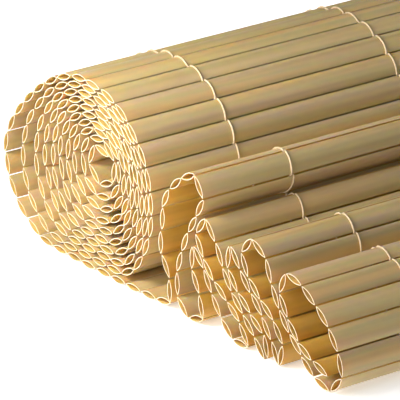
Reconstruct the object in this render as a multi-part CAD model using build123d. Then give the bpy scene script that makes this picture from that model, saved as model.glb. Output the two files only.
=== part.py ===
"""A mat of hollow plastic slats, half rolled up, its loose end gathered into upright folds.

Lengths are in millimetres and headings in degrees. The slats lie along Y. Seen from the front, along +Y,
X runs to the right and Z up. A slat's heading is the way it leads along the mat, from the roll's core out
to the free end: 0 to the right, 90 up.
"""
import math
import os

from build123d import *

# Slat
SLAT_WIDTH = 13.0
SLAT_THICKNESS = 4.0
SLAT_LENGTH = 1200.0
WALL = 0.5
FLATS = 3  # flats that draw each curved face, kept few because the mat has so many slats

# Spacing
HINGE_GAP = 0.6  # between neighbouring slats, where the stitching passes through
FOLD_GAP = 0.85  # the same in the folds, where the stitching is strained
TURN_GAP = 0.25  # between two turns where the roll is tight

# Roll
ROLL_TURNS = 9.8
CORE_RADIUS = 8.0  # from the roll's axis to the innermost joint
AXIS_HEIGHT = 60.9
SAG_GAP = 2.2  # extra room per turn where the turns sag
SAG_ANGLE = 262.0  # direction of that sag
SPRING_GAP = 1.8  # room where the outer turns have sprung open, growing with the square of the turns
SPRING_ANGLE = 194.0  # direction in which they have
SPRING_FOCUS = 14  # the higher, the narrower the sprung side
SPRUNG_TURNS = 3.45
LEAVE_ANGLE = 5.0  # past the lowest point, where the mat leaves the roll for the floor
DISH_DEPTH = 9.0  # depth to which the core is pushed in along the slats

# Loose end: each leg's headings, one per slat
TOE_ANGLE = 9  # last slat on the floor, ahead of the first fold
FOLDS = (
    ("fold_1_rise", (94, 121, 90, 86, 63, 42, 26)),
    ("fold_1_fall", (-56, -120, -123, -114, -108, -88, -44, 16)),
    ("fold_2_rise", (104, 118, 88)),
    ("fold_2_fall", (-50, -59, -54, -41, 2)),
    ("fold_3_rise", (127, 144, 145, 133, 120, 53)),
    ("fold_3_fall", (-52, -64, -55, -42, -42, -48)),
    ("fold_4_rise", (104, 147, 143, 128, 84)),
    ("fold_4_fall", (-54, -49, -45, -54, -65)),
    ("fold_5_rise", (77, 127, 145, 138, 115, 49)),
    ("fold_5_fall", (-31, -71, -62, -52, -41, -36, -14)),
    ("fold_6_rise", (48, 105, 126, 141, 148, 170)),
    ("fold_6_fall", (-112, -59, -47, -27, -19)),
)

PITCH = SLAT_WIDTH + HINGE_GAP
TIP_HEIGHT = 0.15 * SLAT_THICKNESS  # half the height of a slat close to its edge
TURN_STEP = 0.01  # turns between two tries when the roll is walked


def lens_points():
    """The slat's outline: two shallow arcs that meet at its edges, each drawn as a few flats."""
    half_width = SLAT_WIDTH / 2
    half_height = SLAT_THICKNESS / 2
    half_angle = 2 * math.atan(half_height / half_width)
    radius = half_width / math.sin(half_angle)
    angles = [half_angle * (2 * i / FLATS - 1) for i in range(FLATS + 1)]
    across = [radius * math.sin(a) for a in angles]
    height = [radius * (math.cos(a) - math.cos(half_angle)) for a in angles]
    to_crown = half_height / max(height)  # brings the middle flat up to the full thickness
    top = [(x, z * to_crown) for x, z in zip(across, height)]
    return top + [(x, -z) for x, z in reversed(top[1:-1])]


def make_slat():
    """One hollow slat, centred on the origin, its width along X."""
    outside = make_face(Polyline(*lens_points(), close=True))
    hollow = offset(outside, amount=-WALL, kind=Kind.INTERSECTION)
    section = Plane.XZ * (outside - hollow)
    return extrude(section, amount=SLAT_LENGTH / 2, both=True)


def turn_spacing(radius):
    """Room from one tight turn to the next. Near the core a straight slat cuts deep across the turn below."""
    cut_across = PITCH**2 / (8 * radius)
    return max(SLAT_THICKNESS, SLAT_THICKNESS / 2 + TIP_HEIGHT + cut_across) + TURN_GAP


def tight_radius(turns):
    radius = CORE_RADIUS
    whole, part = divmod(turns, 0.1)
    for _ in range(int(whole)):
        radius += 0.1 * turn_spacing(radius)
    return radius + part * turn_spacing(radius)


def towards(angle, direction):
    """1 in a direction, falling to 0 opposite to it."""
    return 0.5 + 0.5 * math.cos(angle - math.radians(direction))


def roll_point(turns):
    """A point of the spiral, counted in turns from the core. It ends on the floor, close to below the axis."""
    angle = 2 * math.pi * (turns - ROLL_TURNS) + math.radians(LEAVE_ANGLE - 90)
    sag = SAG_GAP * turns * towards(angle, SAG_ANGLE)
    sprung_turns = max(0.0, turns - ROLL_TURNS + SPRUNG_TURNS)
    sprung = SPRING_GAP * sprung_turns**2 * towards(angle, SPRING_ANGLE) ** SPRING_FOCUS
    radius = tight_radius(turns) + sag + sprung
    turns_below = ROLL_TURNS - turns
    rest_height = SLAT_THICKNESS / 2 + turns_below * (SLAT_THICKNESS + TURN_GAP)
    return radius * math.cos(angle), max(AXIS_HEIGHT + radius * math.sin(angle), rest_height)


def next_joint(turns):
    """How far up the spiral the next joint lies inwards, one pitch away in a straight line."""
    start = roll_point(turns)
    inner = turns
    while math.dist(start, roll_point(inner)) < PITCH:
        inner -= TURN_STEP
        if inner < 0:
            return None
    outer = inner + TURN_STEP
    for _ in range(20):
        middle = (inner + outer) / 2
        if math.dist(start, roll_point(middle)) < PITCH:
            outer = middle
        else:
            inner = middle
    return inner


def lay_roll():
    """Slats of each turn as (x, y, z, heading), walked from the floor inwards, with the outermost turn first."""
    turns = ROLL_TURNS
    rows = []
    while (inner := next_joint(turns)) is not None:
        x0, z0 = roll_point(inner)
        x1, z1 = roll_point(turns)
        heading = math.degrees(math.atan2(z1 - z0, x1 - x0))
        depth = DISH_DEPTH * (1 - inner / ROLL_TURNS)
        number = int(ROLL_TURNS - inner)
        if number == len(rows):
            rows.append([])
        rows[number].append(((x0 + x1) / 2, depth, (z0 + z1) / 2, heading))
        turns = inner
    return rows


def hinge_length(turn, gap):
    """Distance between two neighbouring edges, longer where one slat folds back flat against the other."""
    half_opening = math.radians(180 - abs(turn)) / 2
    overlap = 1 - math.tan(half_opening) * SLAT_WIDTH / (2 * SLAT_THICKNESS)
    return gap + SLAT_THICKNESS * math.cos(half_opening) * max(0.0, overlap) ** 2


def lay_leg(edge, last_heading, headings, gap):
    """Slats laid one after the other from an edge (x, z). Also gives the edge that the next leg starts from."""
    x, z = edge
    slats = []
    for heading in headings:
        turn = (heading - last_heading + 180) % 360 - 180
        link = math.radians(last_heading + turn / 2)
        along = math.radians(heading)
        half = SLAT_WIDTH / 2
        x += hinge_length(turn, gap) * math.cos(link) + half * math.cos(along)
        z += hinge_length(turn, gap) * math.sin(link) + half * math.sin(along)
        slats.append((x, 0.0, z, heading))
        x += half * math.cos(along)
        z += half * math.sin(along)
        last_heading = heading
    return slats, (x, z)


def lay_mat():
    """Every slat of the mat, by node name."""
    nodes = {}
    roll = lay_roll()
    for number, slats in enumerate(roll, start=1):
        nodes[f"roll_turn_{number:02d}_slats"] = slats

    # As many slats lie flat on the floor as keep the first fold clear of the roll
    reach = max(x for slats in roll for x, _, _, _ in slats)
    first_fold, _ = lay_leg((0.0, 0.0), TOE_ANGLE, FOLDS[0][1], FOLD_GAP)
    lean = max(-x for x, _, _, _ in first_fold)
    run = math.ceil((reach + lean + SLAT_WIDTH / 2 - roll_point(ROLL_TURNS)[0]) / PITCH)
    headings = [0] * (run - 1) + [TOE_ANGLE]
    nodes["floor_run_slats"], edge = lay_leg(roll_point(ROLL_TURNS), 0, headings, HINGE_GAP)
    for name, leg in FOLDS:
        nodes[f"{name}_slats"], edge = lay_leg(edge, headings[-1], leg, FOLD_GAP)
        headings = leg
    return nodes


def main():
    os.makedirs("parts", exist_ok=True)
    slat = make_slat()
    nodes = {}
    for name, slats in lay_mat().items():
        nodes[name] = Compound([slat.moved(Location((x, y, z), (0, -turn, 0))) for x, y, z, turn in slats])

    # The origin is on the floor, in the middle of the whole mat
    box = Compound(list(nodes.values())).bounding_box()
    to_origin = Location((-box.center().X, -box.center().Y, -box.min.Z))
    for name, node in nodes.items():
        export_step(node.moved(to_origin), f"parts/{name}.step")


main()
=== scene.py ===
"""Looks of the slatted mat: rounded hollow slats with cut ends, twined stitching, light and camera."""
import math
import random

import bpy
import numpy as np
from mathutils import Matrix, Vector


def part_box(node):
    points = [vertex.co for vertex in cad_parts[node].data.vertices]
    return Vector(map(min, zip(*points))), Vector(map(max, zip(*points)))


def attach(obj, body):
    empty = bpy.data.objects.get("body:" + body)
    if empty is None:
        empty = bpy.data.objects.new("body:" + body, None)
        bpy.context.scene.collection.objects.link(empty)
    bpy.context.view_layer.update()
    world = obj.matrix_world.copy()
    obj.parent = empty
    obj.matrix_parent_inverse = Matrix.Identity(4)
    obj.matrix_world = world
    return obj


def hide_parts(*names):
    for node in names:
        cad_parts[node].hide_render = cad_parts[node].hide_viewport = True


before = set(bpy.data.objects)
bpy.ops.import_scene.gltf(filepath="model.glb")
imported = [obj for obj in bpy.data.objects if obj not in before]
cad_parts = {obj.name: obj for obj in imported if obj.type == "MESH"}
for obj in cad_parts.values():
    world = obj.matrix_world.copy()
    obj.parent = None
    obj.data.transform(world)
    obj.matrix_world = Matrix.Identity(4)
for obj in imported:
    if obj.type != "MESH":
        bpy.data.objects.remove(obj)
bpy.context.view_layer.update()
dice = random.Random(7)

MM = 0.001

# Slats
SLAT_THICKNESS = 4.0 * MM
WALL = 0.42 * MM
EDGE_WALL = 0.65 * MM  # wall at the slat's two edges
EDGE_BLUNTING = 0.85  # 1 for a plain arc, 0.5 for an ellipse
ARC_STEPS = 12  # segments across one face of a slat
END_STAGGER = 0.5 * MM  # how far a slat's ends may lie out of line
SHARP_ANGLE = math.radians(35)  # faces that meet at more than this keep a crisp edge

# Stitching
THREAD_RADIUS = 0.5 * MM
THREAD_SIDES = 6
THREAD_STOPS = (0.05, 0.2, 0.35, 0.5, 0.65, 0.8, 0.95)  # a thread's points over a slat, in slat widths
TWINE = 0.65 * MM  # sideways swing of a thread at each gap
FIRST_ROW = 60 * MM
ROW_SPACING = 120 * MM

# Noise on the slats: steps per metre across and along a slat, and detail
BANDS = (160, 3, 1.0)
STREAKS = (420, 6, 1.0)
SCRATCHES = (900, 3, 2.0)
SLAT_STEP = 40  # how fast the noise changes from slat to slat
SLAT_SEED = 0.37  # and how far apart two neighbours are in it
SHADE_RANGE = (0.93, 1.07)  # darkest and lightest streak or slat

# Painted shade along a slat's edges, standing in for the dark gaps between slats
GAP_SHADE_FULL = 0.1 * MM  # from the edge, where it darkens the slat fully
GAP_SHADE_END = 0.45 * MM  # where it ends
GAP_SHADE_TINT = (0.32, 0.21, 0.11)

# Colours along the noise, from its low to its high values
FACE_STOPS = [
    (0.32, (0.66, 0.43, 0.175)),
    (0.43, (0.60, 0.43, 0.200)),
    (0.50, (0.54, 0.44, 0.195)),
    (0.57, (0.61, 0.44, 0.205)),
    (0.68, (0.56, 0.40, 0.230)),
]
# Inside a fold, a deeper gold: painted glow of light that shines through the slats and bounces in the
# hollow
INSIDE_GLOW_STOPS = [(0.3, (0.60, 0.36, 0.065)), (0.7, (0.66, 0.43, 0.10))]
BORE_STOPS = [(0.3, (0.60, 0.43, 0.13)), (0.7, (0.68, 0.50, 0.19))]
CUT_STOPS = [(0.3, (0.70, 0.60, 0.44)), (0.7, (0.79, 0.70, 0.53))]
THREAD_COLOURS = [(0.3, (0.64, 0.48, 0.29)), (0.7, (0.80, 0.63, 0.41))]
FLOOR_STOPS = [(0.3, (0.93, 0.93, 0.93)), (0.7, (0.95, 0.95, 0.95))]

# How far red, green and blue light shine into the plastic, in millimetres
FACE_DEPTH = (1.0, 0.6, 0.12)
BORE_DEPTH = (1.0, 0.7, 0.14)

# Floor
FLOOR_HALF = 6.0
GLOW_NEAR = 0.12  # from the cut ends, as far as the floor stays dim
GLOW_FAR = 0.45  # where it is fully lit
GLOW_LEAST = 0.34

# Camera
VIEW_AZIMUTH = math.radians(53.04)
VIEW_ELEVATION = math.radians(21.55)
VIEW_DISTANCE = 2.6193
LENS_PER_SENSOR = 4940.6 / 400  # focal length over picture width, both in pixels
SENSOR = 36
TARGET_BESIDE_FOLD = 0.0273  # of the point looked at, to the right of the first fold's foot
TARGET_HEIGHT = 0.0728


# Slats as the frame holds them

def islands(mesh):
    """Vertex places of each separate solid in a node's mesh."""
    co = np.empty(len(mesh.vertices) * 3)
    mesh.vertices.foreach_get("co", co)
    places, same = np.unique(np.round(co.reshape(-1, 3), 6), axis=0, return_inverse=True)
    same = same.reshape(-1)
    group = list(range(len(places)))

    def root(i):
        while group[i] != i:
            group[i] = group[group[i]]
            i = group[i]
        return i

    for edge in mesh.edges:
        group[root(same[edge.vertices[0]])] = root(same[edge.vertices[1]])
    members = {}
    for i in range(len(places)):
        members.setdefault(root(i), []).append(i)
    return [places[m] for m in members.values()]


def edges_of(solid):
    """A slat's two long edges as (x, z), and its front and back y."""
    flat = solid[:, [0, 2]]
    apart = np.linalg.norm(flat[:, None] - flat[None], axis=2)
    i, j = np.unravel_index(apart.argmax(), apart.shape)
    return flat[i], flat[j], solid[:, 1].min(), solid[:, 1].max()


def chain(names, edge):
    """Slats of these nodes in order, each turned to lead away from the edge (x, z) before it."""
    ordered = []
    for name in names:
        left = [edges_of(s) for s in islands(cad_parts[name].data)]
        while left:
            near = [min(np.linalg.norm(s[0] - edge), np.linalg.norm(s[1] - edge)) for s in left]
            a, b, front, back = left.pop(int(np.argmin(near)))
            if np.linalg.norm(b - edge) < np.linalg.norm(a - edge):
                a, b = b, a
            ordered.append({"node": name, "a": a, "b": b, "front": front, "back": back})
            edge = b
    return ordered


turns = sorted(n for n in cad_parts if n.startswith("roll_turn"))
legs = sorted((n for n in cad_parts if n.startswith("fold")), key=lambda n: (n[:6], "fall" in n))
floor_low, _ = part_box("floor_run_slats")
floor_edge = np.array((floor_low.x, floor_low.z + SLAT_THICKNESS / 2))
inwards = chain(turns, floor_edge)
for slat in inwards:
    slat["a"], slat["b"] = slat["b"], slat["a"]
mat = inwards[::-1] + chain(["floor_run_slats"] + legs, floor_edge)
for number, slat in enumerate(mat):
    slat["number"] = number
    slat["tone"] = dice.random()
    shift = dice.uniform(-END_STAGGER, END_STAGGER)
    slat["front"] += shift
    slat["back"] += shift

slat_width = float(np.median([np.linalg.norm(s["b"] - s["a"]) for s in mat]))
slat_length = mat[0]["back"] - mat[0]["front"]
front_y = min(s["front"] for s in mat)


def crown(x, half_width, half_thickness):
    """Height of a face above the slat's middle plane: an arc, a little blunter towards the edges."""
    return half_thickness * max(0.0, 1 - (x / half_width) ** 2) ** EDGE_BLUNTING


def lens(half_width, half_thickness):
    """Outline as (along, height) from the slat's middle, first the left face, then the right."""
    angles = [math.pi * (i / ARC_STEPS - 0.5) for i in range(ARC_STEPS + 1)]
    across = [half_width * math.sin(t) for t in angles]
    left = [(x, crown(x, half_width, half_thickness)) for x in across]
    right = [(x, -z) for x, z in reversed(left[1:-1])]
    return np.array(left + right)


outer_ring = lens(slat_width / 2, SLAT_THICKNESS / 2)
inner_ring = lens(slat_width / 2 - EDGE_WALL, SLAT_THICKNESS / 2 - WALL)
RING = len(outer_ring)


def axes(slat):
    """Middle, direction across the slat from edge to edge, and left normal of its section, as (x, z)."""
    along = (slat["b"] - slat["a"]) / np.linalg.norm(slat["b"] - slat["a"])
    return (slat["a"] + slat["b"]) / 2, along, np.array((-along[1], along[0]))


# Materials

def new_material(name):
    """A material with its nodes, its links and its shader."""
    m = bpy.data.materials.new(name)
    m.use_nodes = True
    nodes = m.node_tree.nodes
    return m, nodes, m.node_tree.links, nodes["Principled BSDF"]


def add(nodes, kind, **values):
    """A new node, with values for its sockets or its settings by name."""
    n = nodes.new(kind)
    for key, value in values.items():
        if key in n.inputs:
            n.inputs[key].default_value = value
        else:
            setattr(n, key, value)
    return n


def ramp(nodes, stops, interpolation="EASE"):
    """A colour ramp through stops of (place, colour)."""
    n = nodes.new("ShaderNodeValToRGB")
    n.color_ramp.interpolation = interpolation
    while len(n.color_ramp.elements) < len(stops):
        n.color_ramp.elements.new(0.5)
    for element, (place, colour) in zip(n.color_ramp.elements, stops):
        element.position = place
        element.color = (*colour, 1)
    return n


def map_range(nodes, start, end):
    """A node that maps the range start, as (least, most), to the range end."""
    n = add(nodes, "ShaderNodeMapRange")
    n.inputs["From Min"].default_value = start[0]
    n.inputs["From Max"].default_value = start[1]
    n.inputs["To Min"].default_value = end[0]
    n.inputs["To Max"].default_value = end[1]
    return n


def spotted(nodes, links, shader, stops, scale, **values):
    """Gives a shader a colour with soft spots. Returns the object coordinates and the spots' value."""
    place = add(nodes, "ShaderNodeTexCoord")
    spots = add(nodes, "ShaderNodeTexNoise", Scale=scale, **values)
    links.new(place.outputs["Object"], spots.inputs["Vector"])
    colour = ramp(nodes, stops)
    links.new(spots.outputs["Fac"], colour.inputs[0])
    links.new(colour.outputs[0], shader.inputs["Base Color"])
    return place.outputs["Object"], spots.outputs["Fac"]


def slat_material(name, stops, roughness, depth):
    """Extruded plastic: soft bands and finer streaks drawn out along the slat, with painted shade at its
    edges for the dark gaps between slats.
    """
    m, nodes, links, shader = new_material(name)
    grain = add(nodes, "ShaderNodeAttribute", attribute_name="grain")

    def drawn_out(across, along, detail):
        stretch = add(nodes, "ShaderNodeVectorMath", operation="MULTIPLY")
        stretch.inputs[1].default_value = (across, along, SLAT_STEP)
        links.new(grain.outputs["Vector"], stretch.inputs[0])
        noise = add(nodes, "ShaderNodeTexNoise", Scale=1.0, Detail=detail, Roughness=0.5)
        links.new(stretch.outputs[0], noise.inputs["Vector"])
        return noise.outputs["Fac"]

    def shaded(colour, value, value_range):
        shade = map_range(nodes, value_range, SHADE_RANGE)
        links.new(value, shade.inputs["Value"])
        product = add(nodes, "ShaderNodeVectorMath", operation="SCALE")
        links.new(colour, product.inputs[0])
        links.new(shade.outputs[0], product.inputs["Scale"])
        return product.outputs[0]

    bands = ramp(nodes, stops, "B_SPLINE")
    links.new(drawn_out(*BANDS), bands.inputs[0])
    colour = shaded(bands.outputs[0], drawn_out(*STREAKS), (0.3, 0.7))
    tone = add(nodes, "ShaderNodeAttribute", attribute_name="tone")
    colour = shaded(colour, tone.outputs["Fac"], (0.0, 1.0))

    # Painted shade: the colour darkens near each slat's edges, where the gaps between slats fall dark
    apart = add(nodes, "ShaderNodeSeparateXYZ")
    links.new(grain.outputs["Vector"], apart.inputs[0])
    from_edge = add(nodes, "ShaderNodeMath", operation="PINGPONG")
    from_edge.inputs[1].default_value = slat_width / 2
    links.new(apart.outputs["X"], from_edge.inputs[0])
    to_soft = add(nodes, "ShaderNodeMath", operation="DIVIDE")
    to_soft.inputs[1].default_value = GAP_SHADE_END
    links.new(from_edge.outputs[0], to_soft.inputs[0])
    painted_gap_shade = ramp(nodes, [(GAP_SHADE_FULL / GAP_SHADE_END, GAP_SHADE_TINT), (1.0, (1, 1, 1))])
    links.new(to_soft.outputs[0], painted_gap_shade.inputs[0])
    gap_shaded = add(nodes, "ShaderNodeVectorMath", operation="MULTIPLY")
    links.new(colour, gap_shaded.inputs[0])
    links.new(painted_gap_shade.outputs[0], gap_shaded.inputs[1])
    links.new(gap_shaded.outputs[0], shader.inputs["Base Color"])

    bump = add(nodes, "ShaderNodeBump", Strength=0.1, Distance=0.2 * MM)
    links.new(drawn_out(*SCRATCHES), bump.inputs["Height"])
    links.new(bump.outputs[0], shader.inputs["Normal"])
    shader.inputs["Roughness"].default_value = roughness
    shader.inputs["IOR"].default_value = 1.5
    shader.inputs["Subsurface Weight"].default_value = 0.85
    shader.inputs["Subsurface Radius"].default_value = depth
    shader.inputs["Subsurface Scale"].default_value = 1.0 * MM
    return m


def cut_material():
    """Sawn ends: pale, matt and a little uneven."""
    m, nodes, links, shader = new_material("slat_cut_end")
    spotted(nodes, links, shader, CUT_STOPS, 600.0, Detail=2.0)
    shader.inputs["Roughness"].default_value = 0.6
    return m


def thread_material():
    """Cream twisted thread."""
    m, nodes, links, shader = new_material("stitch_thread")
    _, spots = spotted(nodes, links, shader, THREAD_COLOURS, 900.0, Detail=3.0)
    bump = add(nodes, "ShaderNodeBump", Strength=0.3, Distance=0.2 * MM)
    links.new(spots, bump.inputs["Height"])
    links.new(bump.outputs[0], shader.inputs["Normal"])
    shader.inputs["Roughness"].default_value = 0.55
    return m


# Material slots of a slat, in the order of the list below
FACE, BORE, CUT, INSIDE_FOLD_GLOW = range(4)
MATERIALS = [
    slat_material("slat_face", FACE_STOPS, 0.42, FACE_DEPTH),
    slat_material("slat_bore", BORE_STOPS, 0.5, BORE_DEPTH),
    cut_material(),
    slat_material("slat_inside_fold_painted_glow", INSIDE_GLOW_STOPS, 0.42, FACE_DEPTH),
]
THREAD = thread_material()


# Slat meshes

def hollow_side(node):
    """Ring places of the faces that turn to the hollow under a fold.

    They are on the side to which the mat bends at the fold's crest.
    """
    if not node.startswith("fold"):
        return range(0)
    rise = [s for s in mat if s["node"] == f"{node[:6]}_rise_slats"][-1]
    fall = [s for s in mat if s["node"] == f"{node[:6]}_fall_slats"][0]
    bends_left = axes(fall)[1] @ axes(rise)[2] > 0
    return range(ARC_STEPS) if bends_left else range(ARC_STEPS, RING)


def dress(node):
    """One mesh for all slats of a node: rounded faces, bores and cut ends."""
    verts, faces, kinds, grain, tone = [], [], [], [], []
    around = np.linspace(0, 2 * slat_width, RING + 1)
    hollow = hollow_side(node)
    for slat in (s for s in mat if s["node"] == node):
        middle, along, left = axes(slat)
        base = len(verts)
        for ring in (outer_ring, inner_ring):
            section = middle + ring[:, :1] * along + ring[:, 1:] * left
            for y in (slat["front"], slat["back"]):
                verts += [(x, y, z) for x, z in section]
                tone += [slat["tone"]] * RING
        rings = [range(base + k * RING, base + (k + 1) * RING) for k in range(4)]
        out_front, out_back, in_front, in_back = rings
        seed = SLAT_SEED * slat["number"]
        for i in range(RING):
            j = (i + 1) % RING
            faces.append((out_front[i], out_front[j], out_back[j], out_back[i]))
            faces.append((in_front[j], in_front[i], in_back[i], in_back[j]))
            faces.append((out_front[j], out_front[i], in_front[i], in_front[j]))
            faces.append((out_back[i], out_back[j], in_back[j], in_back[i]))
            # Faces on a fold's hollow side take the material with the painted golden glow
            kinds += [INSIDE_FOLD_GLOW if i in hollow else FACE, BORE, CUT, CUT]
            here = (around[i], 0, seed)
            there = (around[i], slat_length, seed)
            next_here = (around[i + 1], 0, seed)
            next_there = (around[i + 1], slat_length, seed)
            grain += [here, next_here, next_there, there, next_here, here, there, next_there]
            grain += [next_here, here, here, next_here, there, next_there, next_there, there]
    mesh = bpy.data.meshes.new(f"rounded_{node}")
    mesh.from_pydata(verts, [], faces)
    mesh.attributes.new("grain", "FLOAT_VECTOR", "CORNER").data.foreach_set("vector", np.ravel(grain))
    mesh.attributes.new("tone", "FLOAT", "POINT").data.foreach_set("value", tone)
    for m in MATERIALS:
        mesh.materials.append(m)
    mesh.polygons.foreach_set("material_index", kinds)
    mesh.polygons.foreach_set("use_smooth", [True] * len(faces))
    mesh.set_sharp_from_angle(angle=SHARP_ANGLE)
    mesh.update()
    piece = bpy.data.objects.new(f"rounded_{node}", mesh)
    bpy.context.scene.collection.objects.link(piece)
    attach(piece, "root")
    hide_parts(node)


for node in turns + ["floor_run_slats"] + legs:
    dress(node)


# Stitching

def thread_path(row, first_side):
    """One thread of a stitch row: over one face of a slat, through the gap, under the next."""
    points = []
    for k, slat in enumerate(mat):
        _, along, left = axes(slat)
        side = first_side if k % 2 == 0 else -first_side
        y_row = slat["front"] + FIRST_ROW + row * ROW_SPACING
        for t in THREAD_STOPS:
            height = crown((t - 0.5) * slat_width, slat_width / 2, SLAT_THICKNESS / 2) + THREAD_RADIUS
            x, z = slat["a"] + t * slat_width * along + side * height * left
            swing = side * TWINE * (1 - 2 * t)
            points.append((x, y_row + swing, max(z, THREAD_RADIUS)))
        if k + 1 < len(mat):
            x, z = (slat["b"] + mat[k + 1]["a"]) / 2
            points.append((x, y_row - side * TWINE, z))
    return np.array(points)


def tube(path, radius, sides):
    """Vertices and faces of a tube along a path."""
    ahead = np.gradient(path, axis=0)
    ahead /= np.linalg.norm(ahead, axis=1)[:, None]
    across = np.cross(ahead, (0.0, 1.0, 0.0))
    across /= np.linalg.norm(across, axis=1)[:, None]
    up = np.cross(across, ahead)
    turn = np.linspace(0, 2 * math.pi, sides, endpoint=False)
    rings = (path[:, None] + radius * (np.cos(turn)[None, :, None] * across[:, None]
                                       + np.sin(turn)[None, :, None] * up[:, None]))
    faces = []
    for i in range(len(path) - 1):
        for j in range(sides):
            a = i * sides + j
            b = i * sides + (j + 1) % sides
            faces.append((a, b, b + sides, a + sides))
    faces.append(tuple(reversed(range(sides))))
    faces.append(tuple(range((len(path) - 1) * sides, len(path) * sides)))
    return rings.reshape(-1, 3), faces


row_count = int((slat_length - FIRST_ROW) / ROW_SPACING) + 1
for row in range(row_count):
    verts, faces = [], []
    for side in (1, -1):
        ring_verts, ring_faces = tube(thread_path(row, side), THREAD_RADIUS, THREAD_SIDES)
        start = len(verts)
        verts += ring_verts.tolist()
        faces += [tuple(start + v for v in f) for f in ring_faces]
    mesh = bpy.data.meshes.new(f"stitch_row_{row + 1:02d}")
    mesh.from_pydata(verts, [], faces)
    mesh.polygons.foreach_set("use_smooth", [True] * len(faces))
    mesh.materials.append(THREAD)
    mesh.update()
    piece = bpy.data.objects.new(mesh.name, mesh)
    bpy.context.scene.collection.objects.link(piece)
    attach(piece, "root")


# Floor, camera and light

def floor():
    """A pale floor with a faint glow of its own, dimmer around the cut ends."""
    mesh = bpy.data.meshes.new("floor")
    corners = [(x * FLOOR_HALF, y * FLOOR_HALF, 0) for x, y in ((-1, -1), (1, -1), (1, 1), (-1, 1))]
    mesh.from_pydata(corners, [], [(0, 1, 2, 3)])
    m, nodes, links, shader = new_material("pale_floor")
    place, _ = spotted(nodes, links, shader, FLOOR_STOPS, 2.0)
    shader.inputs["Roughness"].default_value = 0.9
    shader.inputs["Emission Color"].default_value = (1, 1, 1, 1)
    distance = add(nodes, "ShaderNodeVectorMath", operation="DISTANCE")
    distance.inputs[1].default_value = (0, front_y, 0)
    links.new(place, distance.inputs[0])
    glow = map_range(nodes, (GLOW_NEAR, GLOW_FAR), (GLOW_LEAST, 1.0))
    links.new(distance.outputs["Value"], glow.inputs["Value"])
    links.new(glow.outputs[0], shader.inputs["Emission Strength"])
    mesh.materials.append(m)
    piece = bpy.data.objects.new("floor", mesh)
    bpy.context.scene.collection.objects.link(piece)


floor()

fold_foot = next(s for s in mat if s["node"] == "fold_1_rise_slats")["a"]
TARGET = Vector((fold_foot[0] + TARGET_BESIDE_FOLD, front_y, floor_low.z + TARGET_HEIGHT))
view = Vector((-math.sin(VIEW_AZIMUTH) * math.cos(VIEW_ELEVATION),
               math.cos(VIEW_AZIMUTH) * math.cos(VIEW_ELEVATION),
               -math.sin(VIEW_ELEVATION)))
camera_data = bpy.data.cameras.new("camera")
camera_data.sensor_width = SENSOR
camera_data.lens = SENSOR * LENS_PER_SENSOR
camera_data.clip_end = 50
camera = bpy.data.objects.new("camera", camera_data)
camera.location = TARGET - VIEW_DISTANCE * view
camera.rotation_euler = view.to_track_quat("-Z", "Y").to_euler()
bpy.context.scene.collection.objects.link(camera)
bpy.context.scene.camera = camera


def area_light(name, place, aim, size, watts, spread):
    """A round soft lamp."""
    data = bpy.data.lights.new(name, "AREA")
    data.shape = "DISK"
    data.size = size
    data.energy = watts
    data.spread = math.radians(spread)
    lamp = bpy.data.objects.new(name, data)
    lamp.location = place
    lamp.rotation_euler = (Vector(aim) - Vector(place)).to_track_quat("-Z", "Y").to_euler()
    bpy.context.scene.collection.objects.link(lamp)


def lamp_from(name, aim, azimuth, elevation, distance, size, watts, spread):
    """A soft lamp, its azimuth counted from the camera, negative to the left."""
    turn = VIEW_AZIMUTH + math.radians(azimuth)
    rise = math.radians(elevation)
    away = Vector((math.sin(turn) * math.cos(rise), -math.cos(turn) * math.cos(rise), math.sin(rise)))
    area_light(name, aim + distance * away, aim, size, watts, spread)


# The key lights stand to the left of the camera, in front of the cut ends
roll_low, roll_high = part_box("roll_turn_01_slats")
ROLL_FRONT = Vector(((roll_low.x + roll_high.x) / 2 + 0.026, front_y, (roll_low.z + roll_high.z) / 2))
ROLL_TOP = ROLL_FRONT + Vector((-0.01, 0.03, 0.02))
LAMPS = [
    # name, aim, azimuth, elevation, distance, size, watts, spread
    ("key", ROLL_TOP, -62, 38, 0.42, 0.15, 0.5, 80),
    ("low_fill", ROLL_FRONT, -28, 16, 0.4, 0.25, 1.15, 180),
    ("wide_key", TARGET, -65, 40, 0.9, 0.3, 2.4, 180),
    ("right", TARGET, 60, 40, 2.0, 1.2, 4.3, 180),
    ("back", TARGET, 104, 53, 2.0, 1.2, 4, 180),
]
for lamp in LAMPS:
    lamp_from(*lamp)

# Two more light the far half of the mat from both sides
FAR_HALF = Vector((0, front_y + 0.95, 0.05))
for name, offset in (("far_right", (0.7, 0.3, 0.9)), ("far_left", (-0.9, 0.3, 0.7))):
    area_light(name, FAR_HALF + Vector(offset), FAR_HALF, 0.6, 1.2, 50)

world = bpy.data.worlds.new("studio")
world.use_nodes = True
world.node_tree.nodes["Background"].inputs["Color"].default_value = (1, 1, 1, 1)
world.node_tree.nodes["Background"].inputs["Strength"].default_value = 0.03
bpy.context.scene.world = world
bpy.context.scene.view_settings.view_transform = "Standard"

bpy.context.view_layer.update()
